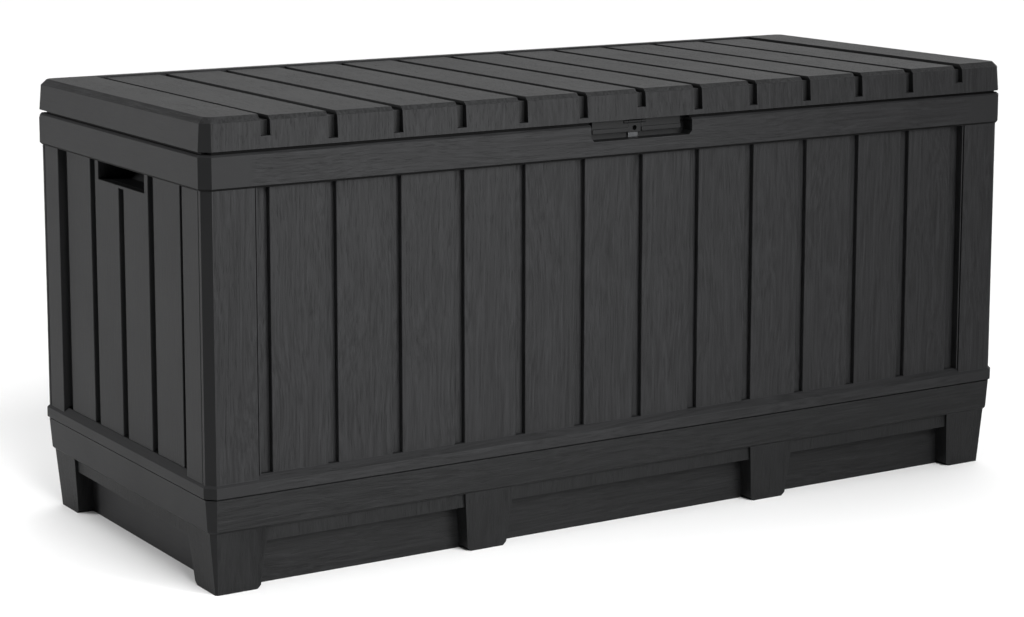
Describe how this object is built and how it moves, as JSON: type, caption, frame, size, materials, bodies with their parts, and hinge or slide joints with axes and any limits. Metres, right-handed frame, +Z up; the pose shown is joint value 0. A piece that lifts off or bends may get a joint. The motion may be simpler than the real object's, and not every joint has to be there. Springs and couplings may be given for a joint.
{
  "type": "deck storage box",
  "caption": "Long outdoor resin storage box with board-look walls on a footed tub base, and a hinged board-look lid with a small lock tab.",
  "frame": {"origin": "middle of the footprint, on the ground under the feet", "axes": "+Z up, -Y towards the front with the latch, +X to the right seen from the front"},
  "size_m": [1.278, 0.528, 0.595],
  "materials": {
    "resin_body": "dark graphite resin, embossed with wood grain",
    "resin_base": "darker graphite resin, embossed with wood grain",
    "resin_lid": "dark graphite resin, grain along the boards",
    "resin_fittings": "plain dark resin",
    "steel": "zinc-plated steel"
  },
  "bodies": {
    "box": {"base_tray": "resin_base", "lower_frame": "resin_body", "front_wall": "resin_body", "rear_wall": "resin_body", "left_wall": "resin_body", "right_wall": "resin_body", "front_left_post": "resin_body", "front_right_post": "resin_body", "rear_left_post": "resin_body", "rear_right_post": "resin_body", "rim_frame": "resin_body", "left_handle_cup": "resin_base", "right_handle_cup": "resin_base", "latch_pocket": "resin_base", "lock_staple": "steel", "left_hinge_bracket": "resin_fittings", "centre_hinge_bracket": "resin_fittings", "right_hinge_bracket": "resin_fittings", "left_hinge_pin": "steel", "centre_hinge_pin": "steel", "right_hinge_pin": "steel", "bracket_screws": "steel", "corner_screws": "steel"},
    "lid": {"lid_shell": "resin_lid", "lid_liner": "resin_fittings", "latch_lip": "resin_fittings", "hasp_pin": "steel", "left_hinge_knuckle": "resin_fittings", "centre_hinge_knuckle": "resin_fittings", "right_hinge_knuckle": "resin_fittings", "knuckle_screws": "steel", "liner_screws": "steel"},
    "hasp": {"hasp_tab": "resin_fittings"}
  },
  "joints": [
    {"name": "lid_hinge", "type": "hinge", "parent": "box", "child": "lid", "pos_m": [0, 0.257, 0.552], "axis": [-1, 0, 0], "range_deg": [0, 95]},
    {"name": "hasp_hinge", "type": "hinge", "parent": "lid", "child": "hasp", "pos_m": [-0.003, -0.2485, 0.549], "axis": [-1, 0, 0], "range_deg": [0, 90]}
  ]
}
